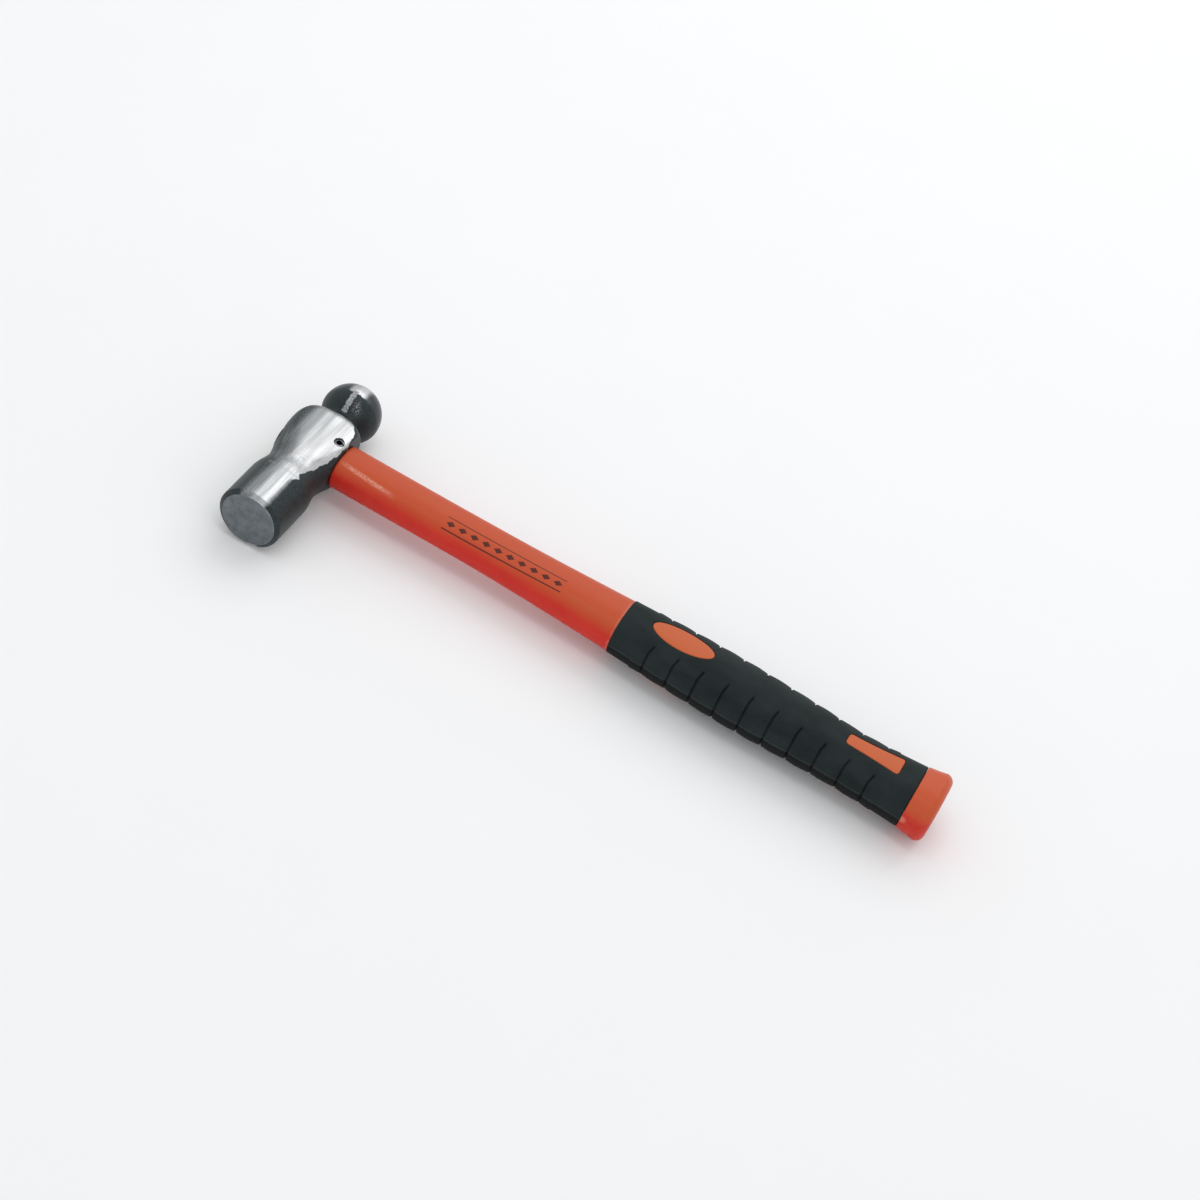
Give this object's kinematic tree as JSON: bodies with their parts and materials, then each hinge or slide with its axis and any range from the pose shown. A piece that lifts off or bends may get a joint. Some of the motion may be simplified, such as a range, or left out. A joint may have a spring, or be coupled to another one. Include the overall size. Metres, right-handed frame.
{
  "type": "ball peen hammer",
  "caption": "Ball peen hammer with a ground steel head pinned to a fibreglass-cored handle that has an orange plastic jacket and a ribbed rubber grip.",
  "frame": {"origin": "centre of the flat striking face, which is the tool's working point", "axes": "+X down the handle from the head to the butt, +Y along the head from the striking face to the ball peen, +Z out of the upper cheek; the hammer lies on its side"},
  "size_m": [0.3322, 0.1015, 0.0302],
  "materials": {
    "head_steel": "forged steel, belt ground on the poll, cheeks and face, black paint on the handle side and the neck",
    "pin_steel": "blackened spring steel",
    "fibreglass": "pultruded fibreglass, fine lengthwise strands, sawn end",
    "epoxy": "dark poured epoxy resin",
    "jacket_plastic": "satin moulded polypropylene, red-orange",
    "grip_rubber": "fine matt moulded soft rubber, charcoal",
    "inlay_plastic": "matt moulded plastic, bright orange",
    "cap_plastic": "satin moulded plastic, red-orange, scuffed"
  },
  "bodies": {
    "root": {"hammer_head": "head_steel", "roll_pin": "pin_steel", "core_rod": "fibreglass", "epoxy_bond": "epoxy", "handle_jacket": "jacket_plastic", "rubber_grip": "grip_rubber", "oval_inlay_upper": "inlay_plastic", "oval_inlay_lower": "inlay_plastic", "tail_inlay_upper": "inlay_plastic", "tail_inlay_lower": "inlay_plastic", "end_cap": "cap_plastic"}
  },
  "joints": []
}
